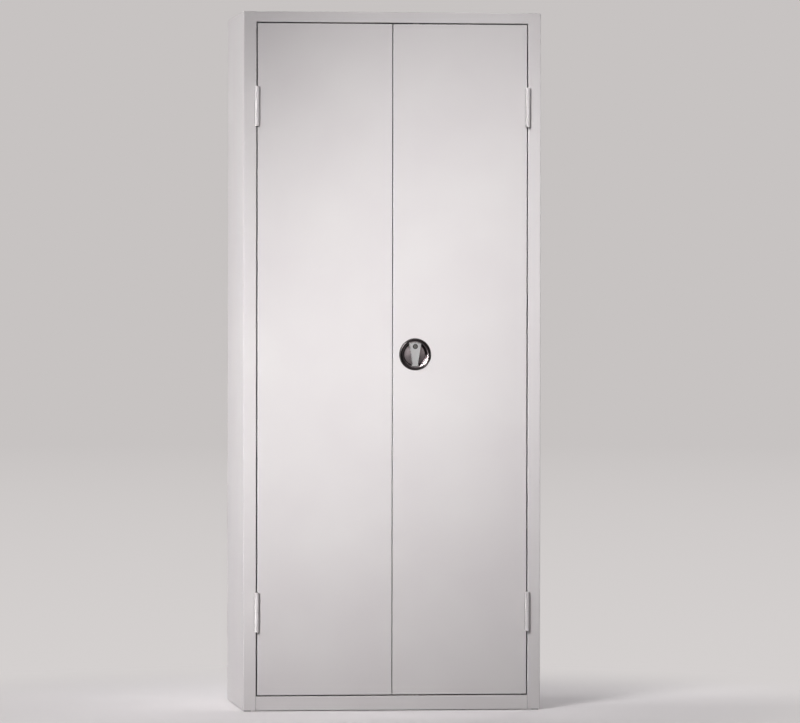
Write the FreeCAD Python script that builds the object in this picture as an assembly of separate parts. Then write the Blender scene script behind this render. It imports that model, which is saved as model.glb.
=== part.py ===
import FreeCAD, Part
import math
import os

# A two-door steel storage cabinet: a folded sheet body with four shelves on
# slotted uprights, two tray doors on lift-off hinges, and a turn handle in a
# round dish that drives two rods by a pinion and two racks, and a side tongue.
# Millimetres. X runs to the right, Y from front to back and Z up. The origin
# is on the floor, at the middle of the body's footprint.

# Body
height = 1950.0
width = 835.0
depth = 500.0
sheet = 1.0
bend_radius = 1.0
stile_width = 36.0
top_rail_height = 30.0
bottom_rail_height = 41.5
glide_height = 2.0

# Doors
door_depth = 20.0
door_gap = 3.0
centre_gap = 2.0
door_lip = 18.0
hinge_height = 110.0
hinge_inset = 179.0

# Shelves
shelf_count = 4
shelf_setback = 25.0
shelf_thickness = 25.0
slot_spacing = 75.0

# Handle and rods
handle_offset = 64.0
handle_height = 995.0
dish_radius = 45.0
rod_radius = 4.0
rod_offset = 3.5
tooth_module = 1.5
pinion_teeth = 12

# Clearances, and the overrun of every cut
running_clearance = 0.05
guide_clearance = 0.1
seat_clearance = 0.3
overrun = 5.0

# Planes that the pieces share
front = -depth / 2
back = depth / 2
wall_inside = width / 2 - sheet
opening_half = width / 2 - stile_width
opening_bottom = bottom_rail_height
opening_top = height - top_rail_height
door_back = front + door_depth
door_bottom = opening_bottom + door_gap
door_top = opening_top - door_gap
stop_face = door_back + door_gap


def point(x, y, z):
    return FreeCAD.Vector(x, y, z)


def block(x_span, y_span, z_span):
    """A box between two places along each axis."""
    size = [span[1] - span[0] for span in (x_span, y_span, z_span)]
    return Part.makeBox(*size, point(x_span[0], y_span[0], z_span[0]))


def upright_rod(x, y, radius, z_span):
    """A round bar along Z."""
    return Part.makeCylinder(radius, z_span[1] - z_span[0], point(x, y, z_span[0]))


def cross_rod(x, z, radius, y_span):
    """A round bar along Y."""
    return Part.makeCylinder(radius, y_span[1] - y_span[0], point(x, y_span[0], z), point(0, 1, 0))


def in_plan(u, v):
    """A section drawn in plan, to be drawn up along Z."""
    return point(u, v, 0)


def in_side_view(u, v):
    """A section drawn in the side view, to be drawn out along X."""
    return point(0, u, v)


def in_front_view(u, v):
    """A section drawn in the front view, to be drawn back along Y."""
    return point(u, 0, v)


def prism(edges, along):
    """A solid drawn out from a closed outline of edges."""
    outline = Part.Wire(Part.__sortEdges__(edges))
    return Part.Face(outline).extrude(along)


def polygon(points, view):
    """The straight edges of a closed outline."""
    corners = [view(*place) for place in points]
    return [Part.LineSegment(a, b).toShape() for a, b in zip(corners, corners[1:] + corners[:1])]


def unit(a, b):
    length = math.hypot(b[0] - a[0], b[1] - a[1])
    return (b[0] - a[0]) / length, (b[1] - a[1]) / length


def rounded_run(path, radii, view):
    """The edges along an open path whose corners have the given radii, zero for a tight fold."""
    edges = []
    start = path[0]
    for before, corner, after, radius in zip(path, path[1:], path[2:], radii):
        if radius == 0:
            edges.append(Part.LineSegment(view(*start), view(*corner)).toShape())
            start = corner
            continue
        come = unit(before, corner)
        leave = unit(corner, after)
        turn = math.acos(come[0] * leave[0] + come[1] * leave[1])
        reach = radius * math.tan(turn / 2)
        sink = radius / math.cos(turn / 2) - radius
        inward = unit(come, leave)
        first = (corner[0] - come[0] * reach, corner[1] - come[1] * reach)
        middle = (corner[0] + inward[0] * sink, corner[1] + inward[1] * sink)
        last = (corner[0] + leave[0] * reach, corner[1] + leave[1] * reach)
        edges.append(Part.LineSegment(view(*start), view(*first)).toShape())
        edges.append(Part.Arc(view(*first), view(*middle), view(*last)).toShape())
        start = last
    edges.append(Part.LineSegment(view(*start), view(*path[-1])).toShape())
    return edges


def inner_face(path, thickness):
    """The path of a folded sheet's other face, to the right of the first."""
    sides = [unit(a, b) for a, b in zip(path, path[1:])]
    rights = [(side[1], -side[0]) for side in sides]
    inner = [(path[0][0] + rights[0][0] * thickness, path[0][1] + rights[0][1] * thickness)]
    for corner, right, next_right in zip(path[1:], rights, rights[1:]):
        share = thickness / (1 + right[0] * next_right[0] + right[1] * next_right[1])
        inner.append((corner[0] + (right[0] + next_right[0]) * share,
                      corner[1] + (right[1] + next_right[1]) * share))
    inner.append((path[-1][0] + rights[-1][0] * thickness, path[-1][1] + rights[-1][1] * thickness))
    return inner


def square_sheet(path, thickness, along):
    """A folded sheet with tight folds, drawn in plan: its metal lies to the path's right."""
    return prism(polygon(path + inner_face(path, thickness)[::-1], in_plan), along)


def folded_sheet(path, round_folds, view, along):
    """A folded sheet with round folds: its outer face follows the path, and its metal lies to the right."""
    sides = [unit(a, b) for a, b in zip(path, path[1:])]
    outer_radii = []
    inner_radii = []
    for side, next_side, is_round in zip(sides, sides[1:], round_folds):
        turns_right = side[0] * next_side[1] - side[1] * next_side[0] < 0
        radii = (bend_radius + sheet, bend_radius) if turns_right else (bend_radius, bend_radius + sheet)
        outer_radii.append(radii[0] if is_round else 0)
        inner_radii.append(radii[1] if is_round else 0)
    inner = inner_face(path, sheet)
    edges = rounded_run(path, outer_radii, view) + rounded_run(inner, inner_radii, view)
    edges.append(Part.LineSegment(view(*path[0]), view(*inner[0])).toShape())
    edges.append(Part.LineSegment(view(*path[-1]), view(*inner[-1])).toShape())
    return prism(edges, along)


def folded_tray(length, breadth, tray_depth, lip):
    """A sheet tray around the origin: its face lies at Z zero, and its edges rise to turned-in lips."""
    face = block((-length / 2, length / 2), (-breadth / 2, breadth / 2), (0, tray_depth))
    rim = [edge for edge in face.Edges if max(abs(corner.Z) for corner in edge.Vertexes) < sheet]
    face = face.makeFillet(bend_radius, rim)
    inside = block((sheet - length / 2, length / 2 - sheet), (sheet - breadth / 2, breadth / 2 - sheet),
                   (sheet, tray_depth - sheet))
    mouth = block((lip - length / 2, length / 2 - lip), (lip - breadth / 2, breadth / 2 - lip),
                  (tray_depth / 2, tray_depth + overrun))
    return face.cut(inside.fuse(mouth))


def mirrored(shape):
    """The same piece for the other side of the cabinet."""
    return shape.mirror(point(0, 0, 0), point(1, 0, 0))


def save(shape, name):
    shape.exportStep(f"parts/{name}.step")


def save_group(shapes, name):
    save(Part.makeCompound(shapes), name)


# Side panels: one folded sheet each, from the door stop round the stile and the wall to the back flange
back_flange = 15.0
stop_lip = 15.0
foot_flange = 22.0
stile_outside = -width / 2
stile_inside = -opening_half
side_path = [
    (stile_inside + stop_lip, stop_face),
    (stile_inside, stop_face),
    (stile_inside, front),
    (stile_outside, front),
    (stile_outside, back - sheet),
    (stile_outside + back_flange, back - sheet),
]
side_rise = point(0, 0, height - sheet - glide_height)
left_side = folded_sheet(side_path, (False, True, True, False), in_plan, side_rise)
left_side.translate(point(0, 0, glide_height))
lip_span = (stile_inside, stile_inside + stop_lip + overrun)
lip_depths = (stop_face - overrun, stop_face + overrun)
left_side = left_side.cut(block(lip_span, lip_depths, (0, opening_bottom)))
left_side = left_side.cut(block(lip_span, lip_depths, (opening_top - stop_lip, height)))

# Wall foot: a flange turned in along the floor, which carries the glides
foot_span = (stile_outside + sheet, stile_outside + foot_flange)
foot_reach = (front + sheet, back - 2 * sheet)
left_side = left_side.fuse(block(foot_span, foot_reach, (glide_height, glide_height + sheet)))
left_side = left_side.removeSplitter()
save(left_side, "left_side_panel")
save(mirrored(left_side), "right_side_panel")

# Corner glides: thin pads under the ends of the wall feet
glide_width = 18.0
glide_length = 40.0
glide_inset = 4.0
glides = []
for glide_front in (front + glide_inset, back - glide_inset - glide_length):
    glide_left = stile_outside + glide_inset
    glide = block((glide_left, glide_left + glide_width), (glide_front, glide_front + glide_length),
                  (0, glide_height))
    glides += [glide, mirrored(glide)]
save_group(glides, "corner_glides")

# Where the rods pass the body: in line with the handle, inside the depth of the door
rod_setback = 13.5
rod_x = handle_offset + rod_offset
rod_y = front + rod_setback
keeper_clearance = 0.4
keeper_hole = 2 * rod_radius + 2 * keeper_clearance
keeper_length = 34.0
keeper_width = 19.0
keeper_thickness = 2.0
keeper_stand = 5.0
rail_hole = 18.0


def rod_passage(size, z_span):
    """A square way for the rods."""
    return block((rod_x - size / 2, rod_x + size / 2), (rod_y - size / 2, rod_y + size / 2), z_span)


def rod_window(size, level):
    """A square hole for a rod in a level sheet."""
    return rod_passage(size, (level - overrun, level + overrun))


# Top panel: the roof with the top rail and its return folded from one sheet
top_path = [
    (stop_face + sheet, opening_top),
    (front, opening_top),
    (front, height),
    (back - sheet, height),
    (back - sheet, height - back_flange),
]
top_panel = folded_sheet(top_path, (True, True, False), in_side_view, point(2 * opening_half, 0, 0))
top_panel.translate(point(-opening_half, 0, 0))
roof = block((-width / 2, width / 2), (front, back), (height - sheet, height))
over_rail = block((-opening_half, opening_half), (front - overrun, front + 2 * sheet + bend_radius),
                  (height - 2 * sheet - bend_radius, height + overrun))
top_panel = top_panel.fuse(roof.cut(over_rail))
save(top_panel.cut(rod_window(rail_hole, opening_top)).removeSplitter(), "top_panel")

# Top stop: a strip welded under the return, between the side panels' stops
stop_half = opening_half - stop_lip
top_stop = block((-stop_half, stop_half), (stop_face, stop_face + sheet),
                 (opening_top - stop_lip, opening_top))
save(top_stop, "top_stop_strip")

# Bottom panel: the floor of the cupboard with the bottom rail folded down and hemmed
hem = 15.0
bottom_path = [
    (front + hem, glide_height),
    (front, glide_height),
    (front, opening_bottom),
    (back - sheet, opening_bottom),
    (back - sheet, opening_bottom - back_flange),
]
bottom_panel = folded_sheet(bottom_path, (False, True, False), in_side_view, point(2 * opening_half, 0, 0))
bottom_panel.translate(point(-opening_half, 0, 0))
floor_wing = block((-wall_inside, wall_inside), (stop_face + sheet, back - 2 * sheet - bend_radius),
                   (opening_bottom - sheet, opening_bottom))
bottom_panel = bottom_panel.fuse(floor_wing)
stile_filler = block((-wall_inside, -opening_half - sheet - seat_clearance),
                     (front + sheet + bend_radius, stop_face + sheet),
                     (opening_bottom - sheet, opening_bottom))
bottom_panel = bottom_panel.fuse(stile_filler).fuse(mirrored(stile_filler))
save(bottom_panel.cut(rod_window(rail_hole, opening_bottom)).removeSplitter(), "bottom_panel")

# Back panel: a flat sheet on the back flanges, with two holes for wall anchors
anchor_radius = 4.5
anchor_spacing = 500.0
anchor_drop = 100.0
back_panel = block((-width / 2, width / 2), (back - sheet, back), (glide_height, height - sheet))
for anchor_x in (-anchor_spacing / 2, anchor_spacing / 2):
    anchor_hole = cross_rod(anchor_x, height - anchor_drop, anchor_radius, (back - overrun, back + overrun))
    back_panel = back_panel.cut(anchor_hole)
save(back_panel, "back_panel")


def keeper(face, direction):
    """A bridge behind a rail hole, with a close hole in its web for the rod's tip."""
    web = face + direction * keeper_stand
    crown = web + direction * keeper_thickness
    span = (rod_x - keeper_length / 2, rod_x + keeper_length / 2)
    depths = (rod_y - keeper_width / 2, rod_y + keeper_width / 2)
    room = (span[0] + keeper_thickness, span[1] - keeper_thickness)
    bridge = block(span, depths, sorted((face, crown)))
    hollow_height = sorted((face - direction * overrun, web))
    bridge = bridge.cut(block(room, (depths[0] - overrun, depths[1] + overrun), hollow_height))
    return bridge.cut(rod_window(keeper_hole, crown))


save(keeper(opening_top + sheet, 1), "top_keeper")
save(keeper(opening_bottom - sheet, -1), "bottom_keeper")

# Door bumpers: rubber pads on the door stops, just behind the closed doors
bumper_size = 9.0
bumper_inset = 40.0


def bumper(x, z):
    return block((x - bumper_size / 2, x + bumper_size / 2), (door_back + seat_clearance, stop_face),
                 (z - bumper_size / 2, z + bumper_size / 2))


bumpers = [bumper(-bumper_inset, opening_top - stop_lip / 2)]
for bumper_z in (opening_bottom + hinge_inset, opening_top - hinge_inset):
    bumpers.append(bumper(-opening_half + stop_lip / 2, bumper_z))
save_group(bumpers + [mirrored(pad) for pad in bumpers], "door_bumpers")

# Slotted uprights: hat sections on the side walls, two at each side
upright_depth = 8.0
upright_width = 26.0
upright_foot = 9.0
upright_setback = 60.0
slot_width = 4.0
slot_height = 10.0
slot_margin = 46.0
upright_face = wall_inside - upright_depth
upright_base = opening_bottom
upright_top = height - sheet - seat_clearance
slot_count = int((upright_top - upright_base - 2 * slot_margin) / slot_spacing) + 1
slot_heights = [upright_base + slot_margin + index * slot_spacing for index in range(slot_count)]
upright_rows = {"front": front + upright_setback, "rear": back - upright_setback}


def slotted_upright(row_y):
    """A left-hand upright, with a slot at every pitch."""
    half = upright_width / 2
    path = [
        (-wall_inside + sheet, row_y - half - upright_foot),
        (-wall_inside + sheet, row_y - half),
        (-upright_face, row_y - half),
        (-upright_face, row_y + half),
        (-wall_inside + sheet, row_y + half),
        (-wall_inside + sheet, row_y + half + upright_foot),
    ]
    strip = square_sheet(path[::-1], sheet, point(0, 0, upright_top - upright_base))
    strip.translate(point(0, 0, upright_base))
    slots = [block((-upright_face - overrun / 2, -upright_face + overrun),
                   (row_y - slot_width / 2, row_y + slot_width / 2),
                   (level - slot_height / 2, level + slot_height / 2)) for level in slot_heights]
    return strip.cut(Part.makeCompound(slots))


for row_name, row_y in upright_rows.items():
    upright = slotted_upright(row_y)
    save(upright, f"upright_{row_name}_left")
    save(mirrored(upright), f"upright_{row_name}_right")

# Shelves: folded trays, each on four clips that hook into the slots
first_shelf_slot = 4
slots_between_shelves = 5
shelf_end_clearance = 1.0
shelf_return = 12.0
clip_neck_width = slot_width - 2 * seat_clearance
clip_neck_height = slot_height - 2 * seat_clearance
clip_width = 16.0
clip_reach = 13.0
clip_drop = 16.0
clip_sheet = 2.0
clip_hook = 2.0
shelf_depth = depth - 2 * shelf_setback
shelf_slots = [first_shelf_slot + index * slots_between_shelves for index in range(shelf_count)]
shelf_bottoms = [slot_heights[slot] + clip_neck_height / 2 for slot in shelf_slots]


def shelf(bottom):
    length = 2 * (upright_face - shelf_end_clearance)
    tray = folded_tray(length, shelf_depth, shelf_thickness, shelf_return)
    tray.rotate(point(0, 0, 0), point(1, 0, 0), 180)
    tray.translate(point(0, 0, bottom + shelf_thickness))
    return tray


def shelf_clip(row_y, top):
    """A left-hand clip: a bracket under the shelf, with a neck through the slot and a hook behind it."""
    face = -upright_face
    bracket = polygon([
        (face, top),
        (face + clip_reach, top),
        (face + clip_reach, top - clip_sheet),
        (face + clip_sheet, top - clip_drop),
        (face, top - clip_drop),
    ], in_front_view)
    bracket = prism(bracket, point(0, clip_width, 0))
    bracket.translate(point(0, row_y - clip_width / 2, 0))
    neck_span = (row_y - clip_neck_width / 2, row_y + clip_neck_width / 2)
    behind = face - sheet - seat_clearance
    neck = block((behind - clip_hook, face), neck_span, (top - clip_neck_height, top))
    hook = block((behind - clip_hook, behind), neck_span, (top - clip_drop, top))
    return bracket.fuse(neck).fuse(hook).removeSplitter()


clips = []
for shelf_index, shelf_bottom in enumerate(shelf_bottoms):
    save(shelf(shelf_bottom), f"shelf_{shelf_index + 1}")
    for row_y in upright_rows.values():
        clip = shelf_clip(row_y, shelf_bottom)
        clips += [clip, mirrored(clip)]
save_group(clips, "shelf_clips")

# Hinges: lift-off pairs on the gap's centre line, frame half below and door half above, on a fixed pin
barrel_radius = 6.25
pin_radius = 3.0
leaf_thickness = 1.2
leaf_depth = 14.0
knuckle_gap = seat_clearance
barrel_clearance = 0.25
barrel_cap = 3.0
hinge_x = opening_half - door_gap / 2
hinge_y = front - barrel_radius - barrel_clearance
hinge_levels = {"upper": opening_top - hinge_inset - hinge_height, "lower": opening_bottom + hinge_inset}


def hinge_half(leaf_x, z_span, bore_span):
    """A knuckle with its leaf, which lies in the gap against the folded edge."""
    knuckle = upright_rod(-hinge_x, hinge_y, barrel_radius, z_span)
    leaf = block((leaf_x, leaf_x + leaf_thickness), (hinge_y, front + leaf_depth), z_span)
    bore = upright_rod(-hinge_x, hinge_y, pin_radius + running_clearance, bore_span)
    return knuckle.fuse(leaf).cut(bore)


pins = []
for hinge_name, hinge_base in hinge_levels.items():
    hinge_middle = hinge_base + hinge_height / 2
    hinge_top = hinge_base + hinge_height
    lower_span = (hinge_base, hinge_middle - knuckle_gap / 2)
    upper_span = (hinge_middle + knuckle_gap / 2, hinge_top)
    frame_half = hinge_half(-opening_half, lower_span, (hinge_base - overrun, hinge_middle))
    door_half = hinge_half(-opening_half + door_gap - leaf_thickness, upper_span,
                           (hinge_middle, hinge_top - barrel_cap))
    save(frame_half, f"frame_hinge_{hinge_name}_left")
    save(mirrored(frame_half), f"frame_hinge_{hinge_name}_right")
    save(door_half, f"door_hinge_{hinge_name}_left")
    save(mirrored(door_half), f"door_hinge_{hinge_name}_right")
    pin = upright_rod(-hinge_x, hinge_y, pin_radius, (hinge_base, hinge_top - barrel_cap - seat_clearance))
    pins += [pin, mirrored(pin)]
save_group(pins, "hinge_pins")

# Doors: folded trays that fill the opening but for the gaps
door_outer = opening_half - door_gap
door_inner = centre_gap / 2
door_width = door_outer - door_inner
door_middle = (door_outer + door_inner) / 2
door_height = door_top - door_bottom
door_inside = front + sheet
neck_radius = 37.7
neck_clearance = 0.3
bushing_length = 8.0
bushing_wall = 1.3
guide_bore = 2 * (rod_radius + guide_clearance)
bushing_size = guide_bore + 2 * bushing_wall


def door_tray():
    """The left door's sheet."""
    tray = folded_tray(door_width, door_height, door_depth, door_lip)
    tray.rotate(point(0, 0, 0), point(1, 0, 0), -90)
    tray.translate(point(-door_middle, front, (door_top + door_bottom) / 2))
    return tray


left_door = door_tray()
save(left_door, "left_door_panel")
right_door = mirrored(left_door)
handle_hole = cross_rod(handle_offset, handle_height, neck_radius + neck_clearance,
                        (front - overrun, front + overrun))
right_door = right_door.cut(handle_hole)
for edge_level in (door_bottom, door_top):
    right_door = right_door.cut(rod_window(bushing_size + 2 * running_clearance, edge_level))
save(right_door, "right_door_panel")

# Door stiffeners: hat sections welded to the middle of each door's inner face
stiffener_width = 34.0
stiffener_depth = 14.0
stiffener_foot = 12.0
stiffener_inset = 30.0
stiffener_half = stiffener_width / 2
stiffener_path = [
    (-door_middle - stiffener_half - stiffener_foot, door_inside + sheet),
    (-door_middle - stiffener_half, door_inside + sheet),
    (-door_middle - stiffener_half, door_inside + stiffener_depth),
    (-door_middle + stiffener_half, door_inside + stiffener_depth),
    (-door_middle + stiffener_half, door_inside + sheet),
    (-door_middle + stiffener_half + stiffener_foot, door_inside + sheet),
]
stiffener = square_sheet(stiffener_path, sheet, point(0, 0, door_height - 2 * stiffener_inset))
stiffener.translate(point(0, 0, door_bottom + stiffener_inset))
save(stiffener, "left_door_stiffener")
save(mirrored(stiffener), "right_door_stiffener")

# Handle dish: a turned cup with a raised bezel, held in the door by a ring nut
bezel_height = 5.0
crown_radius = 41.5
rim_radius = 36.5
rim_drop = 2.0
dish_floor_radius = 30.0
dish_sink = 14.0
dish_floor = 3.5
journal_radius = 7.0
dish_floor_y = front + dish_sink
dish_back_y = dish_floor_y + dish_floor
crown_y = front - bezel_height


def at_handle(shape):
    """Moves what is made round the origin to the handle's axis."""
    shape.translate(point(handle_offset, 0, handle_height))
    return shape


def dish_profile():
    """Half the dish's section, from the bore outward over the bezel and back along the neck."""
    bore = journal_radius + running_clearance
    return polygon([
        (bore, dish_back_y),
        (bore, dish_floor_y),
        (dish_floor_radius, dish_floor_y),
        (rim_radius, crown_y + rim_drop),
        (crown_radius, crown_y),
        (dish_radius, front),
        (neck_radius, front),
        (neck_radius, dish_back_y),
    ], in_plan)


# Lock cylinder in the lever: its cam enters a notch in the dish wall
plug_offset = 22.0
lock_barrel_radius = 7.0
plug_radius = 4.5
cam_reach = 11.0
cam_width = 6.0
cam_nose_width = 4.0
cam_nose_length = 2.0
cam_thickness = 2.0
cam_stem = 4.0
notch_clearance = 0.5
lever_sink = 8.0
lever_front = crown_y
lever_back = lever_front + lever_sink
barrel_proud = 0.5
barrel_tail = 6.0
barrel_front = lever_front - barrel_proud
barrel_back = lever_back + barrel_tail
cam_front = barrel_back + notch_clearance
cam_back = cam_front + cam_thickness


def cam_notch():
    """The window in the dish wall for the lock's cam, as the cam sweeps up to the dish's top."""
    swing = cam_reach + notch_clearance
    depths = (cam_front - notch_clearance, cam_back + notch_clearance)
    sweep = cross_rod(0, plug_offset, swing, depths)
    side = block((-swing, cam_width / 2 + notch_clearance), depths, (plug_offset, plug_offset + swing))
    return sweep.common(side)


dish = Part.Face(Part.Wire(dish_profile())).revolve(point(0, 0, 0), point(0, 1, 0), 360)
for turn in (0, -90):
    notch = cam_notch()
    notch.rotate(point(0, 0, 0), point(0, 1, 0), turn)
    dish = dish.cut(notch)
save(at_handle(dish), "handle_dish")

# Ring nut: eight flats, screwed on the dish's neck behind the door skin
nut_across_corners = 90.0
nut_sides = 8
nut_thickness = 5.0


def flat_sided(sides, across_corners, thickness):
    """A regular prism round the origin, with its thickness along Y."""
    turns = [2 * math.pi * (side + 1 / 2) / sides for side in range(sides)]
    corners = [(across_corners / 2 * math.cos(turn), across_corners / 2 * math.sin(turn)) for turn in turns]
    return prism(polygon(corners, in_front_view), point(0, thickness, 0))


ring_nut = flat_sided(nut_sides, nut_across_corners, nut_thickness)
nut_bore = cross_rod(0, 0, neck_radius + running_clearance, (-overrun, nut_thickness + overrun))
ring_nut = ring_nut.cut(nut_bore)
ring_nut.translate(point(0, door_inside, 0))
save(at_handle(ring_nut), "dish_ring_nut")

# Rod lock case: a flat plate on the dish's back and a folded cover that guides the racks
case_sheet = 1.2
case_half_width = 28.0
case_half_height = 20.0
rack_thickness = 4.0
rack_half_span = 20.0
spindle_square = 8.0
case_front_y = dish_back_y
case_inside_y = case_front_y + case_sheet
rack_front_y = case_inside_y + seat_clearance
rack_back_y = rack_front_y + rack_thickness
cover_inside_y = rack_back_y + seat_clearance
cover_back_y = cover_inside_y + case_sheet
cover_wall = rack_half_span + guide_clearance + case_sheet
corner_radius = math.hypot(spindle_square / 2, spindle_square / 2)


def square_bar(across, y_span):
    return block((-across / 2, across / 2), y_span, (-across / 2, across / 2))


case_front = block((-case_half_width, case_half_width), (case_front_y, case_inside_y),
                   (-case_half_height, case_half_height))
front_window = square_bar(2 * (journal_radius + guide_clearance), (case_front_y - overrun, cover_back_y))
save(at_handle(case_front.cut(front_window)), "lock_case_front")
cover_path = [
    (-case_half_width, case_inside_y + case_sheet),
    (-cover_wall, case_inside_y + case_sheet),
    (-cover_wall, cover_back_y),
    (cover_wall, cover_back_y),
    (cover_wall, case_inside_y + case_sheet),
    (case_half_width, case_inside_y + case_sheet),
]
case_cover = square_sheet(cover_path, case_sheet, point(0, 0, 2 * case_half_height))
case_cover.translate(point(0, 0, -case_half_height))
spindle_hole = cross_rod(0, 0, corner_radius + guide_clearance, (case_front_y, cover_back_y + overrun))
save(at_handle(case_cover.cut(spindle_hole)), "lock_case_cover")

# Turn lever: a tapered grip whose ends follow the dish, with a round boss that runs in the dish's bore
lever_end_gap = 2.0
lever_reach = rim_radius - lever_end_gap - seat_clearance
lever_top_half = 17.0
lever_waist_half = 8.4
lever_toe_half = 9.6
lever_waist_drop = 24.0
lever_chamfer = 1.6
spindle_depth = 11.0
spindle_front = rack_front_y - spindle_depth


def end_height(half):
    """How far along the lever its round end lies at this distance from its centre line."""
    return math.sqrt(lever_reach ** 2 - half ** 2)


def lever_outline():
    top = end_height(lever_top_half)
    toe = -end_height(lever_toe_half)
    right = [(lever_top_half, top), (lever_waist_half, -lever_waist_drop), (lever_toe_half, toe)]
    left = [(-u, v) for u, v in right]
    edges = []
    for run in (right, left):
        places = [point(u, lever_front, v) for u, v in run]
        edges += [Part.LineSegment(a, b).toShape() for a, b in zip(places, places[1:])]
    for start, crest, end in ((left[0], lever_reach, right[0]), (right[2], -lever_reach, left[2])):
        ends = [point(u, lever_front, v) for u, v in (start, (0, crest), end)]
        edges.append(Part.Arc(*ends).toShape())
    return edges


grip = prism(lever_outline(), point(0, lever_sink, 0))
face_edges = [edge for edge in grip.Edges
              if max(abs(corner.Y - lever_front) for corner in edge.Vertexes) < lever_chamfer / 2]
grip = grip.makeChamfer(lever_chamfer, face_edges)
lever = grip.fuse(cross_rod(0, 0, journal_radius, (lever_back - overrun / 2, rack_front_y)))
square_fit = spindle_square + 2 * running_clearance
lever = lever.cut(square_bar(square_fit, (spindle_front, rack_front_y + overrun)))
lever = lever.cut(cross_rod(0, plug_offset, lock_barrel_radius + running_clearance,
                            (lever_front - overrun, lever_back + overrun)))
save(at_handle(lever), "turn_lever")

# Lock barrel, plug and cam: the key turns the plug in the barrel
key_slot_width = 1.4
key_slot_height = 6.4
key_slot_depth = 9.0
plug_sink = 0.3
plug_bore = cross_rod(0, plug_offset, plug_radius + running_clearance,
                      (barrel_front - overrun, barrel_back + overrun))
lock_barrel = cross_rod(0, plug_offset, lock_barrel_radius, (barrel_front, barrel_back)).cut(plug_bore)
save(at_handle(lock_barrel), "lock_barrel")
plug = cross_rod(0, plug_offset, plug_radius, (barrel_front + plug_sink, cam_front))
key_slot = block((-key_slot_width / 2, key_slot_width / 2),
                 (barrel_front - overrun, barrel_front + key_slot_depth),
                 (plug_offset - key_slot_height / 2, plug_offset + key_slot_height / 2))
plug_stem = square_bar(cam_stem, (cam_front, cam_back))
plug_stem.translate(point(0, 0, plug_offset))
save(at_handle(plug.cut(key_slot).fuse(plug_stem)), "lock_plug")
cam_hole = square_bar(cam_stem + 2 * running_clearance, (cam_front - overrun, cam_back + overrun))
cam_half = cam_width / 2
nose_start = cam_reach - cam_nose_length
cam_outline = [
    (cam_half, -cam_half),
    (cam_half, cam_half),
    (-nose_start, cam_half),
    (-cam_reach, cam_nose_width / 2),
    (-cam_reach, -cam_nose_width / 2),
    (-nose_start, -cam_half),
]
plug_cam = prism(polygon(cam_outline, in_front_view), point(0, cam_thickness, 0))
plug_cam.translate(point(0, cam_front, 0))
plug_cam = plug_cam.cut(cam_hole)
plug_cam.translate(point(0, 0, plug_offset))
save(at_handle(plug_cam), "plug_cam")

# Spindle: a square bar from the lever's boss that drives the pinion and the tongue
tongue_thickness = 3.0
tongue_front_y = cover_back_y + seat_clearance
tongue_back_y = tongue_front_y + tongue_thickness
save(at_handle(square_bar(spindle_square, (spindle_front, tongue_back_y))), "spindle")

# Gearing: a pinion between two racks, with short rack teeth at a 25 degree pressure angle
pressure_angle = math.radians(25)
gear_backlash = 0.2
pinion_addendum_share = 0.8
rack_addendum_share = 0.7
tooth_middle_share = 0.5
tooth_end_share = 0.75
pinion_addendum = pinion_addendum_share * tooth_module
rack_addendum = rack_addendum_share * tooth_module
rack_dedendum = tooth_module
tip_clearance = rack_dedendum - pinion_addendum
pitch_radius = tooth_module * pinion_teeth / 2
base_radius = pitch_radius * math.cos(pressure_angle)
root_radius = pitch_radius - rack_addendum - tip_clearance
tip_radius = pitch_radius + pinion_addendum
tooth_pitch = math.pi * tooth_module
tooth_thickness = (tooth_pitch - gear_backlash) / 2
flank_steps = 2


def involute(angle):
    return math.tan(angle) - angle


def pinion_points():
    """The pinion's outline: involute flanks on radial roots, with a tooth space at each rack."""
    flank = []
    for step in range(flank_steps + 1):
        radius = base_radius + (tip_radius - base_radius) * step / flank_steps
        roll = math.acos(base_radius / radius)
        half = tooth_thickness / (2 * pitch_radius) + involute(pressure_angle) - involute(roll)
        flank.append((radius, half))
    flank.insert(0, (root_radius, flank[0][1]))
    points = []
    for tooth in range(pinion_teeth):
        middle = 2 * math.pi * (tooth + tooth_middle_share) / pinion_teeth
        rising = [(radius, middle - half) for radius, half in flank]
        falling = [(radius, middle + half) for radius, half in flank[::-1]]
        tooth_outline = rising + falling
        points += [(radius * math.cos(angle), radius * math.sin(angle)) for radius, angle in tooth_outline]
    return points


pinion = prism(polygon(pinion_points(), in_front_view), point(0, rack_thickness, 0))
pinion.translate(point(0, rack_front_y, 0))
pinion_hole = square_bar(square_fit, (rack_front_y - overrun, rack_back_y + overrun))
save(at_handle(pinion.cut(pinion_hole)), "pinion")

# Racks: toothed legs on both sides of the pinion, joggled forward to lie against the rods
rack_top_teeth = 2
rack_bottom_teeth = 5
rack_neck = 22.0
rack_slant = 18.0
tab_half = 6.0
tab_top = 78.0
joggle_start = 42.0
joggle_end = 48.0
rod_start = 52.0
rod_flat = 1.5
rack_end = (rack_bottom_teeth + tooth_end_share) * tooth_pitch
rod_flat_y = rod_y + rod_radius - rod_flat


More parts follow.
